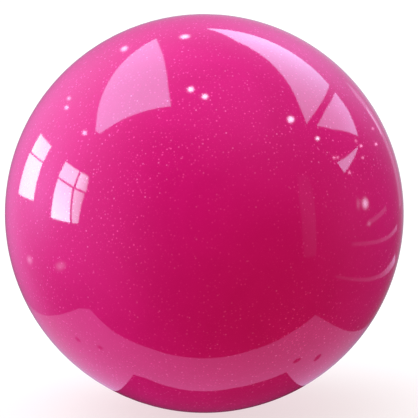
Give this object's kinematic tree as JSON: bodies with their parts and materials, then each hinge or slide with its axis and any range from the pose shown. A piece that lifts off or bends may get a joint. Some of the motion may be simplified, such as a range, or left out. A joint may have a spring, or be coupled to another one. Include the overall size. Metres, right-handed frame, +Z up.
{
  "type": "bowling ball",
  "caption": "Glossy glitter-pink bowling ball: cast cover round a filled core with a disc weight block, drilled with a bored thumb slug and finger inserts set flush.",
  "frame": {"origin": "centre of the ball", "axes": "+Z up as the ball sits in the picture, -Y towards the viewer; the middle of the grip points level along (-0.707, +0.707, 0), with the fingers towards -X and the thumb towards +Y"},
  "size_m": [0.217, 0.217, 0.217],
  "materials": {
    "cover": "polished",
    "filler": "matte",
    "block": "matte",
    "pin": "gloss",
    "slug": "satin",
    "insert": "satin"
  },
  "bodies": {
    "root": {"coverstock": "cover", "core_filler": "filler", "weight_block": "block", "locator_pin": "pin", "thumb_slug": "slug", "middle_finger_insert": "insert", "ring_finger_insert": "insert"}
  },
  "joints": []
}
